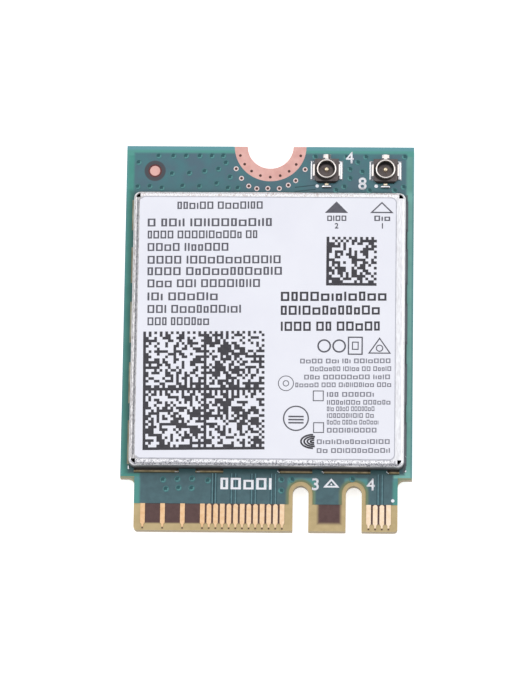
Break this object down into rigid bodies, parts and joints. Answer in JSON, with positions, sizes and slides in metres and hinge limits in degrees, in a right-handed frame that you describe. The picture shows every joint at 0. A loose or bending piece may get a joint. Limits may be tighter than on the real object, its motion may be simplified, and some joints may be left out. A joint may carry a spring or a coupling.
{
  "type": "ngff wifi card",
  "caption": "Small plug-in wireless card with keyed edge contacts, a half-round screw notch, a shielded radio under a label, and coax antenna jacks.",
  "frame": {"origin": "middle of the card's underside, at the centre of its 22 by 30 mm outline", "axes": "+X across the card, to the right when the jacks are up and the label faces the viewer; +Y from the contact edge to the screw edge; +Z out of the label side"},
  "size_m": [0.022, 0.03, 0.0022],
  "materials": {
    "laminate": "satin tan glass-epoxy",
    "solder_mask": "semi-gloss teal",
    "gold_plate": "bright gold plate",
    "bare_copper": "pink satin copper",
    "tin": "bright solder",
    "frame_steel": "satin",
    "lid_steel": "fine brushed",
    "label_film": "matt film",
    "jack_moulding": "matt dark brown",
    "jack_plate": "pale gold plate",
    "epoxy": "matt black",
    "soft_pad": "soft grey",
    "ceramic": "fired",
    "ferrite": "dark grey",
    "white_ceramic": "fired white"
  },
  "bodies": {
    "root": {"board_laminate": "laminate", "solder_mask_top": "solder_mask", "solder_mask_bottom": "solder_mask", "contacts_top": "gold_plate", "contacts_bottom": "gold_plate", "notch_ring_top": "bare_copper", "notch_ring_bottom": "bare_copper", "bare_vias_top": "bare_copper", "bare_vias_bottom": "bare_copper", "fiducial": "bare_copper", "test_pads": "gold_plate", "shield_pads": "gold_plate", "shield_solder": "tin", "shield_frame": "frame_steel", "shield_lid": "lid_steel", "lid_label": "label_film", "main_jack_housing": "jack_moulding", "main_jack_shell": "jack_plate", "main_jack_contact": "gold_plate", "second_jack_housing": "jack_moulding", "second_jack_shell": "jack_plate", "second_jack_contact": "gold_plate", "jack_pads": "tin", "jack_solder": "tin", "wireless_chip": "epoxy", "chip_lands": "tin", "heat_pad": "soft_pad", "radio_modules": "epoxy", "module_lands": "tin", "memory_chip": "epoxy", "memory_lands": "tin", "crystal_base": "ceramic", "crystal_cap": "tin", "inductor_bodies": "ferrite", "inductor_terminals": "tin", "filter_bodies": "white_ceramic", "filter_terminals": "tin", "capacitor_bodies": "ceramic", "capacitor_terminals": "tin", "resistor_bodies": "epoxy", "resistor_terminals": "tin", "part_pads": "bare_copper"}
  },
  "joints": []
}
